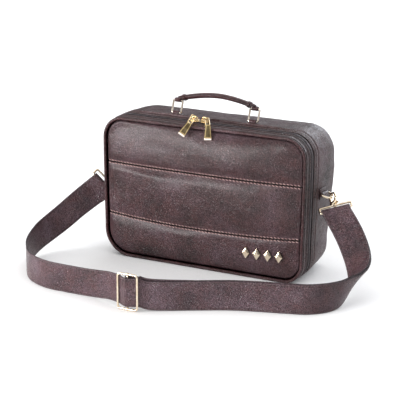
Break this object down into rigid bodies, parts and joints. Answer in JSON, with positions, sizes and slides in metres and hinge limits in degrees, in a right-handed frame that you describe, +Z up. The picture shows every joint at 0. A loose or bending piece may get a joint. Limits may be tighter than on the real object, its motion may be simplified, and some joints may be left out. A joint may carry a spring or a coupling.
{
  "type": "zip-round leather case bag",
  "caption": "Padded leather case with a zip round its front, a swinging carrying handle on metal rings and a shoulder strap on snap hooks.",
  "frame": {"origin": "on the floor under the middle of the case", "axes": "+Z up, front panels towards -Y, +X to the right as seen from the front"},
  "size_m": [0.5366, 0.334, 0.2615],
  "materials": {
    "leather": "semi-gloss dark brown leather with a fine grain",
    "dark_leather": "dark brown leather",
    "zip_tape": "woven tape with teeth",
    "gold": "polished pale gold metal"
  },
  "bodies": {
    "case": {"rear_gusset": "leather", "back_panel": "leather", "zip_band_rear": "dark_leather", "zip_tape": "zip_tape", "zip_band_front": "dark_leather", "front_piping": "dark_leather", "front_panel_upper": "leather", "front_panel_middle": "leather", "front_panel_lower": "leather", "top_lip": "dark_leather", "ornament_stud_1": "gold", "ornament_stud_2": "gold", "ornament_stud_3": "gold", "ornament_stud_4": "gold", "zip_slider_left": "gold", "zip_slider_right": "gold", "zip_link_left": "gold", "zip_link_right": "gold", "zip_pull_left": "gold", "zip_pull_right": "gold", "handle_tab_left": "dark_leather", "handle_tab_right": "dark_leather", "side_tab_left": "dark_leather", "side_tab_right": "dark_leather", "d_ring_left": "gold", "d_ring_right": "gold", "snap_hook_left": "gold", "snap_hook_right": "gold", "strap_ring_left": "gold", "strap_ring_right": "gold", "shoulder_strap": "leather", "strap_buckle": "gold"},
    "handle": {"handle_grip": "dark_leather", "handle_ring_left": "gold", "handle_ring_right": "gold"},
    "gate_left": {"hook_gate_left": "gold"},
    "gate_right": {"hook_gate_right": "gold"}
  },
  "joints": [
    {"name": "handle_swing", "type": "hinge", "parent": "case", "child": "handle", "pos_m": [0, -0.0131, 0.22679], "axis": [1, 0, 0], "range_deg": [-60, 84]},
    {"name": "gate_left_open", "type": "hinge", "parent": "case", "child": "gate_left", "pos_m": [-0.18133, -0.0064, 0.10667], "axis": [-0.3752, 0.7527, -0.541], "range_deg": [-22, 0], "stiffness_Nm_per_rad": 0.02, "springref_deg": 17.19},
    {"name": "gate_right_open", "type": "hinge", "parent": "case", "child": "gate_right", "pos_m": [0.19634, -0.00658, 0.12438], "axis": [0.5683, 0.6735, -0.4727], "range_deg": [-18, 0], "stiffness_Nm_per_rad": 0.02, "springref_deg": 17.19}
  ]
}
